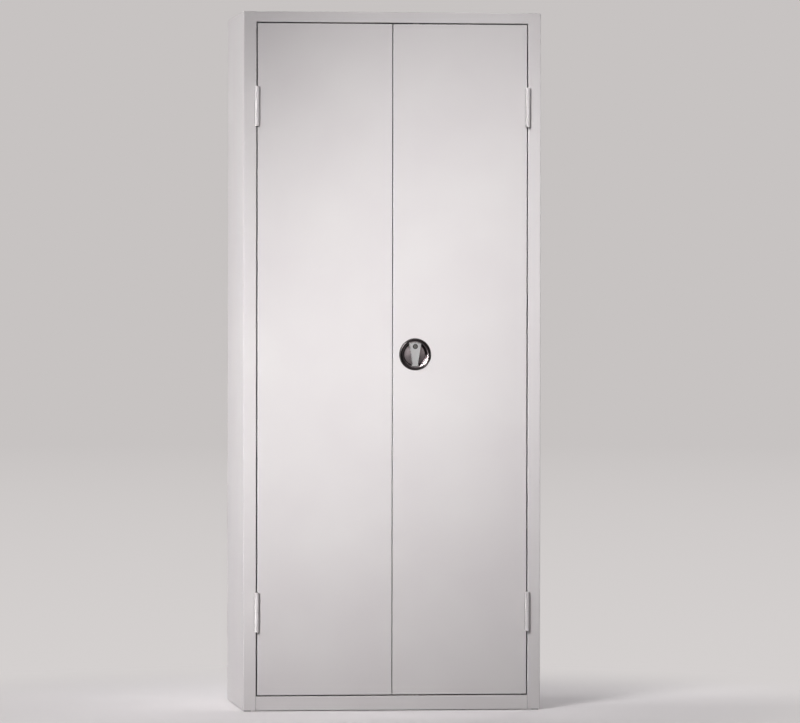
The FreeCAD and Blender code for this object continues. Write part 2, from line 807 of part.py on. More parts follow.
def rack_front_points(tab_offset):
    """The rack from the front: teeth down its inner edge, and a tab over the rod's line."""
    root_line = pitch_radius + rack_dedendum
    tip_line = pitch_radius - rack_addendum
    root_half = tooth_thickness / 2 + rack_dedendum * math.tan(pressure_angle)
    tip_half = tooth_thickness / 2 - rack_addendum * math.tan(pressure_angle)
    points = [
        (rack_half_span, -rack_end),
        (rack_half_span, rack_neck),
        (tab_offset + tab_half, rack_neck + rack_slant),
        (tab_offset + tab_half, tab_top),
        (tab_offset - tab_half, tab_top),
        (tab_offset - tab_half, rack_neck + rack_slant / 2),
        (root_line, (rack_top_teeth + tooth_end_share) * tooth_pitch),
    ]
    for tooth in range(rack_top_teeth, -rack_bottom_teeth - 1, -1):
        level = tooth * tooth_pitch
        points += [(root_line, level + root_half), (tip_line, level + tip_half),
                   (tip_line, level - tip_half), (root_line, level - root_half)]
    points.append((root_line, -rack_end))
    return points


def rack(tab_offset):
    """The rack that moves up, as the meeting of its front view and its joggled side view."""
    reach = tip_radius + rack_half_span
    face = prism(polygon(rack_front_points(tab_offset), in_front_view), point(0, depth, 0))
    face.translate(point(0, front, 0))
    side = polygon([
        (rack_front_y, -rack_end - overrun),
        (rack_front_y, joggle_start),
        (rod_flat_y, joggle_end),
        (rod_flat_y, tab_top + overrun),
        (rod_flat_y + rack_thickness, tab_top + overrun),
        (rod_flat_y + rack_thickness, joggle_end),
        (rack_back_y, joggle_start),
        (rack_back_y, -rack_end - overrun),
    ], in_side_view)
    side = prism(side, point(2 * reach, 0, 0))
    side.translate(point(-reach, 0, 0))
    return face.common(side)


def rod(tab_offset, tip):
    """A rod from its flat on the rack to its tip at the given height above the handle."""
    bar = upright_rod(tab_offset, rod_y, rod_radius, (rod_start, tip))
    flat = block((tab_offset - 2 * rod_radius, tab_offset + 2 * rod_radius),
                 (rod_flat_y, rod_flat_y + overrun), (rod_start - overrun, tab_top + seat_clearance))
    return bar.cut(flat)


tip_gap = 0.4
upper_tip = opening_top - tip_gap - handle_height
lower_tip = handle_height - opening_bottom - tip_gap


def half_turned(shape):
    """The same piece on the lower side of the pinion."""
    shape.rotate(point(0, 0, 0), point(0, 1, 0), 180)
    return shape


save(at_handle(rack(rod_offset)), "upper_rack")
save(at_handle(rod(rod_offset, upper_tip)), "upper_rod")
save(at_handle(half_turned(rack(-rod_offset))), "lower_rack")
save(at_handle(half_turned(rod(-rod_offset, lower_tip))), "lower_rod")

# Rod guides: moulded blocks on the door skin, and square bushings in the door's top and bottom edges
guide_height = 16.0
guide_half_base = 15.0
guide_wall = 2.6
guide_base = 3.0
guide_spacing = 430.0


def rod_guide(level):
    """A block with a wide foot on the skin and a narrower body round the rod."""
    body_half = rod_radius + guide_wall
    shoulder = door_inside + guide_base
    outline = [
        (guide_half_base, door_inside),
        (guide_half_base, shoulder),
        (body_half, shoulder + guide_base),
        (body_half, rod_y + rod_radius),
        (rod_radius, rod_y + body_half),
    ]
    outline = [(rod_x + u, v) for u, v in outline] + [(rod_x - u, v) for u, v in outline[::-1]]
    body = prism(polygon(outline, in_plan), point(0, 0, guide_height))
    body = body.cut(rod_passage(guide_bore, (-overrun, guide_height + overrun)))
    body.translate(point(0, 0, level - guide_height / 2))
    return body


def rod_bushing(edge_level, inward):
    """A square bushing pushed into a door edge from inside."""
    levels = sorted((edge_level, edge_level + inward * bushing_length))
    sleeve = rod_passage(bushing_size, levels)
    return sleeve.cut(rod_passage(guide_bore, (levels[0] - overrun, levels[1] + overrun)))


save(rod_guide(handle_height + guide_spacing), "upper_rod_guide")
save(rod_guide(handle_height - guide_spacing), "lower_rod_guide")
save_group([rod_bushing(door_top, -1), rod_bushing(door_bottom, 1)], "rod_bushings")

# Side tongue: on the spindle's end, upright when open and level behind the left door when locked
tongue_reach = 78.0
tongue_tail = 10.0
tongue_width = 16.0
tongue_corner = 4.0


def tongue_outline():
    """A straight bar with clipped corners, drawn upright."""
    half = tongue_width / 2
    right = [
        (half - tongue_corner, -tongue_tail),
        (half, tongue_corner - tongue_tail),
        (half, tongue_reach - tongue_corner),
        (half - tongue_corner, tongue_reach),
    ]
    return right + [(-u, v) for u, v in right[::-1]]


tongue = prism(polygon(tongue_outline(), in_front_view), point(0, tongue_thickness, 0))
tongue.translate(point(0, tongue_front_y, 0))
tongue_hole = square_bar(square_fit, (tongue_front_y - overrun, tongue_back_y + overrun))
save(at_handle(tongue.cut(tongue_hole)), "locking_tongue")

# Strike: a channel welded on the left door's lip, open to the side from which the tongue swings in
strike_sheet = 1.5
strike_gap = 0.6
strike_height = 60.0
strike_side_gap = 3.0
strike_lip_inset = 3.0
hook_inset = 5.0
strike_web_x = handle_offset - tongue_reach - strike_side_gap
hook_front_y = tongue_back_y + strike_gap
strike_path = [
    (-door_inner - strike_lip_inset, door_back + strike_sheet),
    (strike_web_x, door_back + strike_sheet),
    (strike_web_x, hook_front_y),
    (-door_inner - hook_inset, hook_front_y),
]
strike = square_sheet(strike_path[::-1], strike_sheet, point(0, 0, strike_height))
strike.translate(point(0, 0, handle_height - strike_height / 2))
save(strike, "strike_plate")
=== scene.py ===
import bpy
import bmesh
import math
from mathutils import Matrix, Vector


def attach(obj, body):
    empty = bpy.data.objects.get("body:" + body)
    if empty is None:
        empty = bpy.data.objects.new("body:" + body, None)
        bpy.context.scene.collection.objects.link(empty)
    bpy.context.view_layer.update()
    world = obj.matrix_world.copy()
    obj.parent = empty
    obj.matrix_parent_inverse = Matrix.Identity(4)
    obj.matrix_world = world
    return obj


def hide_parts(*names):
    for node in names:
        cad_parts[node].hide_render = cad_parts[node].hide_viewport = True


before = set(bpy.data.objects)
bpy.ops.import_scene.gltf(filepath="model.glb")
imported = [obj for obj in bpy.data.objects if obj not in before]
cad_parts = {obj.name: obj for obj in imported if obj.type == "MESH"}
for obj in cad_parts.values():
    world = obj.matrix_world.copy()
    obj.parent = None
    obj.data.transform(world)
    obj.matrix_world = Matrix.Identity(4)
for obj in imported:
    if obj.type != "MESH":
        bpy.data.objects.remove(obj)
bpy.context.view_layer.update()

# Camera. It stands about 16 m in front of the doors and a little to the left of
# them, at chest height, with the long lens that near-parallel edges ask for.
camera_place = Vector((-1.827, -15.819, 1.102))
yaw = math.radians(6.771)
pitch = math.radians(-0.464)
roll = math.radians(0.086)
forward = Vector((math.sin(yaw) * math.cos(pitch), math.cos(yaw) * math.cos(pitch), math.sin(pitch)))
level = Vector((math.cos(yaw), -math.sin(yaw), 0))
upward = level.cross(forward)
rightward = level * math.cos(roll) + upward * math.sin(roll)
topward = upward * math.cos(roll) - level * math.sin(roll)
camera_turn = Matrix((rightward, topward, -forward)).transposed().to_4x4()
camera_data = bpy.data.cameras.new("camera")
camera_data.lens = 252.6
camera_data.sensor_width = 36
camera_data.clip_end = 200
camera = bpy.data.objects.new("camera", camera_data)
camera.matrix_world = Matrix.Translation(camera_place) @ camera_turn
bpy.context.scene.collection.objects.link(camera)
bpy.context.scene.camera = camera
bpy.context.scene.view_settings.view_transform = "Standard"

# Floor and surroundings. A large sheet of matt studio paper keeps the soft shadow
# round the base. Within two metres it fades into a plain pale background, which
# dims a little towards the back.
floor_reach = 60.0
fade_start, fade_end = 0.5, 1.8
backdrop_distance = 32.0


def linear(code):
    """An sRGB hex colour as linear values, with full alpha."""
    parts = [int(code[place:place + 2], 16) / 255 for place in (0, 2, 4)]
    return [part / 12.92 if part <= 0.04045 else ((part + 0.055) / 1.055) ** 2.4 for part in parts] + [1]


def connect(tree, node, inputs):
    """Gives a node's inputs their values. A value may be another node's output."""
    for name, value in inputs.items():
        if isinstance(value, bpy.types.NodeSocket):
            tree.links.new(value, node.inputs[name])
        else:
            node.inputs[name].default_value = value


def add(tree, kind, inputs=None, **settings):
    """Adds a node with its settings and its inputs."""
    node = tree.nodes.new(kind)
    for name, value in settings.items():
        setattr(node, name, value)
    connect(tree, node, inputs or {})
    return node


def start_material(name):
    """A new material, with its node tree and its shader."""
    material = bpy.data.materials.new(name)
    material.use_nodes = True
    return material, material.node_tree, material.node_tree.nodes["Principled BSDF"]


def place_mesh(name, form):
    """Puts a finished bmesh into the scene under its name."""
    mesh = bpy.data.meshes.new(name)
    form.to_mesh(mesh)
    form.free()
    piece = bpy.data.objects.new(name, mesh)
    bpy.context.scene.collection.objects.link(piece)
    return piece


background_colour = linear("C7C3C2")
floor_form = bmesh.new()
bmesh.ops.create_grid(floor_form, x_segments=1, y_segments=1, size=floor_reach)
floor = place_mesh("studio_floor", floor_form)
studio_paper, tree, paper = start_material("studio_paper")
connect(tree, paper, {"Base Color": linear("E9E5E6"), "Roughness": 0.9, "Specular IOR Level": 0.1})
# Each mix of two colours takes its share at input 0 and the colours at 6 and 7, and
# gives the result at output 2.
spot = add(tree, "ShaderNodeTexCoord")
distance = add(tree, "ShaderNodeVectorMath", {0: spot.outputs["Object"]}, operation="LENGTH")
fade = add(tree, "ShaderNodeMapRange", {"Value": distance.outputs["Value"], "From Min": fade_start,
                                        "From Max": fade_end}, interpolation_type="SMOOTHSTEP")
far_off = add(tree, "ShaderNodeMapRange", {"Value": distance.outputs["Value"], "From Min": fade_end,
                                           "From Max": backdrop_distance})
haze_tone = add(tree, "ShaderNodeMix", {0: far_off.outputs["Result"], 6: linear("D4D0CF"),
                                        7: background_colour}, data_type="RGBA")
haze = add(tree, "ShaderNodeEmission", {"Color": haze_tone.outputs[2], "Strength": 1.0})
blended = add(tree, "ShaderNodeMixShader", {0: fade.outputs["Result"], 1: paper.outputs["BSDF"],
                                            2: haze.outputs["Emission"]})
# Only the camera sees the pale paper. Light and reflections meet a darker grey floor,
# which throws less light up at the doors.
bounce = add(tree, "ShaderNodeBsdfDiffuse", {"Color": linear("8C8889")})
seen_first = add(tree, "ShaderNodeLightPath")
split = add(tree, "ShaderNodeMixShader", {0: seen_first.outputs["Is Camera Ray"], 1: bounce.outputs["BSDF"],
                                          2: blended.outputs["Shader"]})
connect(tree, tree.nodes["Material Output"], {"Surface": split.outputs["Shader"]})
floor.data.materials.append(studio_paper)

surroundings = bpy.data.worlds.new("studio_surroundings")
bpy.context.scene.world = surroundings
surroundings.use_nodes = True
tree = surroundings.node_tree
air = tree.nodes["Background"]
connect(tree, air, {"Color": linear("F6F4F6"), "Strength": 0.27})
# The room is open and pale on the left and dim on the right, which shows only in what
# metal and paint reflect. It changes between these two values of a direction's x.
pale_until, dim_from = 0.27, 0.47
direction = add(tree, "ShaderNodeTexCoord")
sideways = add(tree, "ShaderNodeSeparateXYZ", {"Vector": direction.outputs["Generated"]})
room = add(tree, "ShaderNodeMapRange", {"Value": sideways.outputs["X"], "From Min": pale_until,
                                        "From Max": dim_from})
path = add(tree, "ShaderNodeLightPath")
dim_side = add(tree, "ShaderNodeMath", {0: room.outputs["Result"], 1: path.outputs["Is Glossy Ray"]},
               operation="MULTIPLY")
seen_tone = add(tree, "ShaderNodeMix", {0: dim_side.outputs["Value"], 6: background_colour,
                                        7: linear("343232")}, data_type="RGBA")
seen = add(tree, "ShaderNodeBackground", {"Color": seen_tone.outputs[2], "Strength": 1.0})
straight = add(tree, "ShaderNodeMath", {0: path.outputs["Is Camera Ray"], 1: path.outputs["Is Glossy Ray"]},
               operation="MAXIMUM")
through = add(tree, "ShaderNodeMath", {0: straight.outputs["Value"], 1: path.outputs["Is Transmission Ray"]},
              operation="MAXIMUM")
shown = add(tree, "ShaderNodeMixShader", {0: through.outputs["Value"], 1: air.outputs["Background"],
                                          2: seen.outputs["Background"]})
connect(tree, tree.nodes["World Output"], {"Surface": shown.outputs["Shader"]})

# Studio lamps. A tall soft box with a grid, high at the left and leaning, lays the
# slanting pool of light on the doors, and a narrow strip beside it glints on metal;
# wide soft boxes fill in the sides and the back.
lamps = {
    # place, the point that it faces, width and height, watts, lean and spread in degrees
    "strip_light": ((-1.49, -2.93, 2.04), (0.064, -0.25, 0.995), (0.07, 2.4), 2.3, 24, 40),
    "slanting_soft_box": ((-1.9, -3.7, 2.9), (-0.05, -0.25, 0.98), (0.8, 2.2), 10.0, 48, 31),
    "left_soft_box": ((-5.0, 0.2, 1.2), (-0.4, 0.0, 1.1), (1.6, 3.0), 138.0, 0, 180),
    "right_soft_box": ((3.6, 0.6, 2.2), (0.4, 0.0, 1.0), (1.6, 2.4), 36.0, 0, 180),
    "rear_soft_box": ((0.6, 4.6, 1.3), (0.0, 0.25, 1.0), (2.4, 2.0), 50.0, 0, 180),
}
for lamp_name, (place, target, size, power, lean, spread) in lamps.items():
    lamp = bpy.data.lights.new(lamp_name, "AREA")
    lamp.shape = "RECTANGLE"
    lamp.size, lamp.size_y = size
    lamp.energy = power
    lamp.spread = math.radians(spread)
    lamp_stand = bpy.data.objects.new(lamp_name, lamp)
    aim = (Vector(target) - Vector(place)).to_track_quat("-Z", "Y").to_matrix().to_4x4()
    tilt = Matrix.Rotation(math.radians(-lean), 4, "Z")
    lamp_stand.matrix_world = Matrix.Translation(place) @ aim @ tilt
    lamp_stand.visible_camera = False
    bpy.context.scene.collection.objects.link(lamp_stand)

# Body: side panels, roof, floor, back and door stops of 1 mm cold-rolled sheet,
# folded, spot welded and powder coated in one light grey with a soft gloss.
mm = 0.001
coat_cloud = 260 * mm
coat_peel = 2.2 * mm
coat_fleck = 0.45 * mm
gap_shade_reach = 6 * mm
powder_coat, tree, coat = start_material("light_grey_powder_coat")
# The baked powder flows out into a faint orange peel, so a lamp's reflection in it
# is wide and slightly broken, and the tone drifts by a shade across a panel.
surface = add(tree, "ShaderNodeTexCoord")
cloud = add(tree, "ShaderNodeTexNoise", {"Vector": surface.outputs["Object"], "Scale": 1 / coat_cloud,
                                         "Detail": 2.0})
tone = add(tree, "ShaderNodeValToRGB", {"Fac": cloud.outputs["Fac"]})
tone.color_ramp.elements[0].position = 0.3
tone.color_ramp.elements[0].color = linear("D5D0D1")
tone.color_ramp.elements[1].position = 0.7
tone.color_ramp.elements[1].color = linear("DAD6D6")
# Painted shade: an ambient occlusion mask darkens the coat towards near black where
# other faces lie within a few millimetres, in the narrow gaps round the doors and beside
# the hinge barrels, so the faces inside the door gaps go dark while the faces of an open
# door stay light.
gap_occlusion = add(tree, "ShaderNodeAmbientOcclusion", {"Distance": gap_shade_reach}, samples=8)
gap_shade_share = add(tree, "ShaderNodeMapRange", {"Value": gap_occlusion.outputs["AO"], "From Min": 0.25,
                                            "From Max": 0.75})
coat_with_painted_shade = add(tree, "ShaderNodeMix", {0: gap_shade_share.outputs["Result"], 6: linear("201F1F"),
                                     7: tone.outputs["Color"]}, data_type="RGBA")
peel = add(tree, "ShaderNodeTexNoise", {"Vector": surface.outputs["Object"], "Scale": 1 / coat_peel,
                                        "Detail": 1.0})
fleck = add(tree, "ShaderNodeTexNoise", {"Vector": surface.outputs["Object"], "Scale": 1 / coat_fleck,
                                         "Detail": 0.0})
sheen = add(tree, "ShaderNodeMapRange", {"Value": cloud.outputs["Fac"], "To Min": 0.36, "To Max": 0.42})
peel_bump = add(tree, "ShaderNodeBump", {"Height": peel.outputs["Fac"], "Strength": 0.25,
                                         "Distance": 0.05 * mm})
fleck_bump = add(tree, "ShaderNodeBump", {"Height": fleck.outputs["Fac"], "Strength": 0.15,
                                          "Distance": 0.01 * mm, "Normal": peel_bump.outputs["Normal"]})
connect(tree, coat, {"Base Color": coat_with_painted_shade.outputs[2], "Roughness": sheen.outputs["Result"],
                     "Normal": fleck_bump.outputs["Normal"], "IOR": 1.5})


def dress(material, *names):
    """Gives CAD nodes their finish."""
    for name in names:
        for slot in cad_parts[name].material_slots:
            slot.material = material


dress(powder_coat, "left_side_panel", "right_side_panel", "top_panel", "top_stop_strip", "bottom_panel",
      "back_panel")

# Top corner welds: the seams between the stiles' folds and the top rail are welded
# full, ground flush and coated over, so none shows. Each fills its groove's section,
# given here as x and y of the right one, from its lower to its upper end.
weld_outline = [(380.8, -250.0), (381.6, -250.03), (383.5, -250.03), (384.4, -250.0), (382.7, -249.2),
                (381.7, -248.4), (381.6, -249.2)]
weld_span = (1920.3, 1948.9)


def join_rings(form, near, far):
    """Joins two rings of corners by a band of faces."""
    band = []
    for here in range(len(near)):
        there = (here + 1) % len(near)
        band.append(form.faces.new((near[here], near[there], far[there], far[here])))
    return band


for side_name, side in (("left", -1), ("right", 1)):
    weld_form = bmesh.new()
    ends = [[weld_form.verts.new((side * x * mm, y * mm, z * mm)) for x, y in weld_outline]
            for z in weld_span]
    join_rings(weld_form, *ends)
    for end in ends:
        weld_form.faces.new(end)
    bmesh.ops.recalc_face_normals(weld_form, faces=weld_form.faces)
    weld = place_mesh("corner_weld_" + side_name, weld_form)
    weld.data.materials.append(powder_coat)
    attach(weld, "cabinet")

# Corner glides: thin moulded pads of black polyamide under the four corners, which
# lift the body 2 mm off the floor and leave the thin dark line under it.
glide_grain = 0.6 * mm
black_polyamide, tree, moulded = start_material("black_moulded_polyamide")
# Spark-eroded tool texture gives a dry, even, slightly grey black.
surface = add(tree, "ShaderNodeTexCoord")
grain = add(tree, "ShaderNodeTexNoise", {"Vector": surface.outputs["Object"], "Scale": 1 / glide_grain,
                                         "Detail": 2.0})
black_tone = add(tree, "ShaderNodeValToRGB", {"Fac": grain.outputs["Fac"]})
black_tone.color_ramp.elements[0].color = linear("1B1B1C")
black_tone.color_ramp.elements[1].color = linear("2A2A2B")
grain_bump = add(tree, "ShaderNodeBump", {"Height": grain.outputs["Fac"], "Strength": 0.4,
                                          "Distance": 0.03 * mm})
connect(tree, moulded, {"Base Color": black_tone.outputs["Color"], "Normal": grain_bump.outputs["Normal"],
                        "Roughness": 0.55, "IOR": 1.53})
dress(black_polyamide, "corner_glides")

# Uprights and shelves: slotted hat sections on the side walls and four folded
# shelves, powder coated like the body, with bent clips of zinc-plated sheet.
zinc_cloud = 14 * mm
zinc_streak = 0.5 * mm
zinc_plate, tree, zinc = start_material("bright_zinc_plate")
# Electroplated and clear passivated: a cool bright grey whose tone clouds a little
# towards yellow, over the fine drawing lines of the sheet below.
surface = add(tree, "ShaderNodeTexCoord")
zinc_mist = add(tree, "ShaderNodeTexNoise", {"Vector": surface.outputs["Object"], "Scale": 1 / zinc_cloud,
                                             "Detail": 3.0})
zinc_tone = add(tree, "ShaderNodeValToRGB", {"Fac": zinc_mist.outputs["Fac"]})
zinc_tone.color_ramp.elements[0].position = 0.3
zinc_tone.color_ramp.elements[0].color = linear("B4B7BA")
zinc_tone.color_ramp.elements[1].position = 0.75
zinc_tone.color_ramp.elements[1].color = linear("C6C3B6")
stretched = add(tree, "ShaderNodeMapping", {"Vector": surface.outputs["Object"], "Scale": (1.0, 1.0, 0.06)})
lines = add(tree, "ShaderNodeTexNoise", {"Vector": stretched.outputs["Vector"], "Scale": 1 / zinc_streak,
                                         "Detail": 1.0})
zinc_rough = add(tree, "ShaderNodeMapRange", {"Value": lines.outputs["Fac"], "To Min": 0.26, "To Max": 0.42})
zinc_bump = add(tree, "ShaderNodeBump", {"Height": lines.outputs["Fac"], "Strength": 0.2,
                                         "Distance": 0.02 * mm})
connect(tree, zinc, {"Base Color": zinc_tone.outputs["Color"], "Metallic": 1.0,
                     "Roughness": zinc_rough.outputs["Result"], "Normal": zinc_bump.outputs["Normal"]})
dress(powder_coat, "upright_front_left", "upright_front_right", "upright_rear_left", "upright_rear_right",
      "shelf_1", "shelf_2", "shelf_3", "shelf_4")
dress(zinc_plate, "shelf_clips")

# Hinges: lift-off pairs on the outer gaps, welded on and coated with the body, each
# turning on a zinc-plated pin.
dress(powder_coat, "frame_hinge_upper_left", "frame_hinge_lower_left", "frame_hinge_upper_right",
      "frame_hinge_lower_right", "door_hinge_upper_left", "door_hinge_lower_left",
      "door_hinge_upper_right", "door_hinge_lower_right")
dress(zinc_plate, "hinge_pins")

# Doors: folded trays with a hat section welded to the back of each, which close on
# black rubber pads on the door stops.
rubber_bloom = 9 * mm
black_rubber, tree, rubber = start_material("black_moulded_rubber")
# Pressed rubber is dull and dark, with a faint grey bloom in patches.
surface = add(tree, "ShaderNodeTexCoord")
bloom = add(tree, "ShaderNodeTexNoise", {"Vector": surface.outputs["Object"], "Scale": 1 / rubber_bloom,
                                         "Detail": 4.0})
rubber_tone = add(tree, "ShaderNodeValToRGB", {"Fac": bloom.outputs["Fac"]})
rubber_tone.color_ramp.elements[0].color = linear("202021")
rubber_tone.color_ramp.elements[1].color = linear("333334")
rubber_bump = add(tree, "ShaderNodeBump", {"Height": bloom.outputs["Fac"], "Strength": 0.3,
                                           "Distance": 0.05 * mm})
connect(tree, rubber, {"Base Color": rubber_tone.outputs["Color"], "Normal": rubber_bump.outputs["Normal"],
                       "Roughness": 0.75, "IOR": 1.52})
dress(powder_coat, "left_door_panel", "right_door_panel", "left_door_stiffener", "right_door_stiffener")
dress(black_rubber, "door_bumpers")

# Handle dish: a zinc die casting in black nickel with a rounded bezel, held by a
# black moulded ring nut. The cup in which the lever turns has a faced, slightly coned
# floor and two pockets in its wall, top and left, for the nose of the lock's cam.
handle_x, handle_z = 64 * mm, 995 * mm
dish_sides = 128
dish_rounding = 0.12 * mm
hub_edge, floor_edge = 9.0, 28.6
dish_profile = [
    (7.05, -232.5), (7.05, -239.2), (8.2, -239.6), (9.4, -239.6),  # hub round the lever's boss
    (floor_edge, -236.4), (29.3, -236.4), (30.2, -237.1), (30.8, -238.4),  # floor
    (34.3, -250.7), (34.6, -251.4),  # wall
    (36.5, -252.2), (37.3, -252.5), (38.1, -252.9), (38.7, -253.9), (39.5, -254.6),  # lip
    (40.5, -254.95), (41.6, -254.75), (42.6, -254.1), (43.4, -253.2), (44.2, -251.8),  # bezel
    (44.8, -250.6), (44.9, -250.02), (37.7, -250.02), (37.7, -232.5),  # seat on the door and neck
]


def turned(name, profile, sides, centre_x, centre_z):
    """A body of revolution about an axis along Y, from (radius, y) points in millimetres.

    A solid one stops just short of the axis, so that all its faces have four corners."""
    form = bmesh.new()
    rings = []
    for side in range(sides):
        angle = 2 * math.pi * side / sides
        rings.append([form.verts.new((centre_x + radius * mm * math.cos(angle), y * mm,
                                      centre_z + radius * mm * math.sin(angle))) for radius, y in profile])
    for ring, following in zip(rings, rings[1:] + rings[:1]):
        join_rings(form, ring, following)
    bmesh.ops.recalc_face_normals(form, faces=form.faces)
    for face in form.faces:
        face.smooth = True
    return place_mesh(name, form)


def ring_at(form, outline, y):
    """An outline's corners round the handle's axis, from millimetres, at a y."""
    return [form.verts.new((handle_x + u * mm, y * mm, handle_z + v * mm)) for u, v in outline]


def soften(piece, width):
    """Rounds the edges of a piece and keeps its flat faces flat."""
    edge_round = piece.modifiers.new("edge_round", "BEVEL")
    edge_round.width = width
    edge_round.segments = 2
    edge_round.limit_method = "ANGLE"
    edge_round.angle_limit = math.radians(30)
    edge_round.harden_normals = True


def carve(piece, cutter):
    """Cuts a piece by a cutter, which then leaves the scene."""
    cut = piece.modifiers.new("cut", "BOOLEAN")
    cut.object = cutter
    cut.operation = "DIFFERENCE"
    cut.solver = "EXACT"
    cut.use_self = True
    bpy.context.view_layer.update()
    carved = bpy.data.meshes.new_from_object(piece.evaluated_get(bpy.context.evaluated_depsgraph_get()))
    piece.modifiers.clear()
    piece.data = carved
    bpy.data.objects.remove(cutter)


dish = turned("dish_cup", dish_profile, dish_sides, handle_x, handle_z)
plug_offset = 22.0
pocket_reach, pocket_side = 11.5, 3.5
pocket_depths = (-241.0, -238.0)
pocket_steps = 24
pocket_start = math.acos(pocket_side / pocket_reach)
pocket = [(pocket_side, plug_offset)]
for step in range(pocket_steps + 1):
    angle = pocket_start + (math.pi - pocket_start) * step / pocket_steps
    pocket.append((pocket_reach * math.cos(angle), plug_offset + pocket_reach * math.sin(angle)))
pocket_form = bmesh.new()
for outline in (pocket, [(-v, u) for u, v in pocket]):
    near, far = (ring_at(pocket_form, outline, y) for y in pocket_depths)
    pocket_form.faces.new(near)
    pocket_form.faces.new(far)
    join_rings(pocket_form, near, far)
bmesh.ops.recalc_face_normals(pocket_form, faces=pocket_form.faces)
carve(dish, place_mesh("cam_pockets", pocket_form))
soften(dish, dish_rounding)
nickel_cloud = 8 * mm
nickel_speck = 0.7 * mm
black_nickel, tree, nickel = start_material("black_nickel_plate")
# Black nickel over a polished casting: a dark warm grey mirror, a little clouded,
# that shows the lamps as thin bright rings on the bezel.
surface = add(tree, "ShaderNodeTexCoord")
mist = add(tree, "ShaderNodeTexNoise", {"Vector": surface.outputs["Object"], "Scale": 1 / nickel_cloud,
                                        "Detail": 3.0})
nickel_tone = add(tree, "ShaderNodeValToRGB", {"Fac": mist.outputs["Fac"]})
nickel_tone.color_ramp.elements[0].color = linear("4A4647")
nickel_tone.color_ramp.elements[1].color = linear("5C5657")
nickel_rough = add(tree, "ShaderNodeMapRange", {"Value": mist.outputs["Fac"], "To Min": 0.16, "To Max": 0.26})
specks = add(tree, "ShaderNodeTexNoise", {"Vector": surface.outputs["Object"], "Scale": 1 / nickel_speck,
                                          "Detail": 1.0})
nickel_bump = add(tree, "ShaderNodeBump", {"Height": specks.outputs["Fac"], "Strength": 0.15,
                                           "Distance": 0.02 * mm})
connect(tree, nickel, {"Base Color": nickel_tone.outputs["Color"], "Metallic": 1.0,
                       "Roughness": nickel_rough.outputs["Result"], "Normal": nickel_bump.outputs["Normal"]})
facing_ring = 1.6 * mm
satin_nickel, tree, faced = start_material("satin_nickel_floor")
# The floor and the lip are faced on the lathe and only dipped, so they are a paler
# mauve grey with fine turning rings, and the lamp spreads over the half that leans
# towards it.
surface = add(tree, "ShaderNodeTexCoord")
from_axis = add(tree, "ShaderNodeVectorMath", {0: surface.outputs["Object"], 1: (handle_x, 0.0, handle_z)},
                operation="SUBTRACT")
facing_rings = add(tree, "ShaderNodeTexWave", {"Vector": from_axis.outputs["Vector"],
                                               "Scale": 1 / facing_ring, "Distortion": 0.4},
                   wave_type="RINGS", rings_direction="Y")
faced_tone = add(tree, "ShaderNodeValToRGB", {"Fac": facing_rings.outputs["Fac"]})
faced_tone.color_ramp.elements[0].color = linear("B3A8AB")
faced_tone.color_ramp.elements[1].color = linear("C3B9BC")
faced_bump = add(tree, "ShaderNodeBump", {"Height": facing_rings.outputs["Fac"], "Strength": 0.2,
                                          "Distance": 0.02 * mm})
connect(tree, faced, {"Base Color": faced_tone.outputs["Color"], "Normal": faced_bump.outputs["Normal"],
                      "Metallic": 1.0, "Roughness": 0.26})
dish.data.materials.append(black_nickel)
dish.data.materials.append(satin_nickel)
floor_y = -236
lip_inner, lip_outer, lip_y = 34.7, 36.4, -251.5
for face in dish.data.polygons:
    out = math.hypot(face.center.x - handle_x, face.center.z - handle_z)
    on_floor = hub_edge * mm < out < floor_edge * mm and face.center.y < floor_y * mm
    on_lip = lip_inner * mm < out < lip_outer * mm and face.center.y < lip_y * mm
    if on_floor or on_lip:
        face.material_index = 1
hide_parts("handle_dish")
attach(dish, "right_door")
dress(black_polyamide, "dish_ring_nut")

# Lever: a die-cast grip in satin chrome, wide at the lock and narrow below, with a
# raised polished border round a brushed face and a round boss that turns in the dish.
lever_reach = 34.0
lever_border = 2.3
lever_sink = 0.45
lever_front, lever_back = -255.0, -247.0
top_half, waist_half, toe_half = 17.0, 8.4, 9.6
waist_drop = 24.0
arc_steps = 16
grip_rounding = 0.15 * mm
brush_stroke = 0.35 * mm
satin_chrome, tree, chrome = start_material("satin_chrome")
# The face is brushed along the grip before plating, so it is a soft light grey that
# streaks lengthwise.
surface = add(tree, "ShaderNodeTexCoord")
brushed = add(tree, "ShaderNodeMapping", {"Vector": surface.outputs["Object"], "Scale": (1.0, 1.0, 0.03)})
strokes = add(tree, "ShaderNodeTexNoise", {"Vector": brushed.outputs["Vector"], "Scale": 1 / brush_stroke,
                                           "Detail": 2.0})
chrome_tone = add(tree, "ShaderNodeValToRGB", {"Fac": strokes.outputs["Fac"]})
chrome_tone.color_ramp.elements[0].color = linear("E8E8E9")
chrome_tone.color_ramp.elements[1].color = linear("F7F7F7")
chrome_rough = add(tree, "ShaderNodeMapRange", {"Value": strokes.outputs["Fac"], "To Min": 0.28,
                                                "To Max": 0.44})
chrome_bump = add(tree, "ShaderNodeBump", {"Height": strokes.outputs["Fac"], "Strength": 0.25,
                                           "Distance": 0.02 * mm})
connect(tree, chrome, {"Base Color": chrome_tone.outputs["Color"], "Metallic": 1.0,
                       "Roughness": chrome_rough.outputs["Result"], "Normal": chrome_bump.outputs["Normal"]})
hand_wear = 3 * mm
fine_chrome, tree, mirror = start_material("fine_chrome")
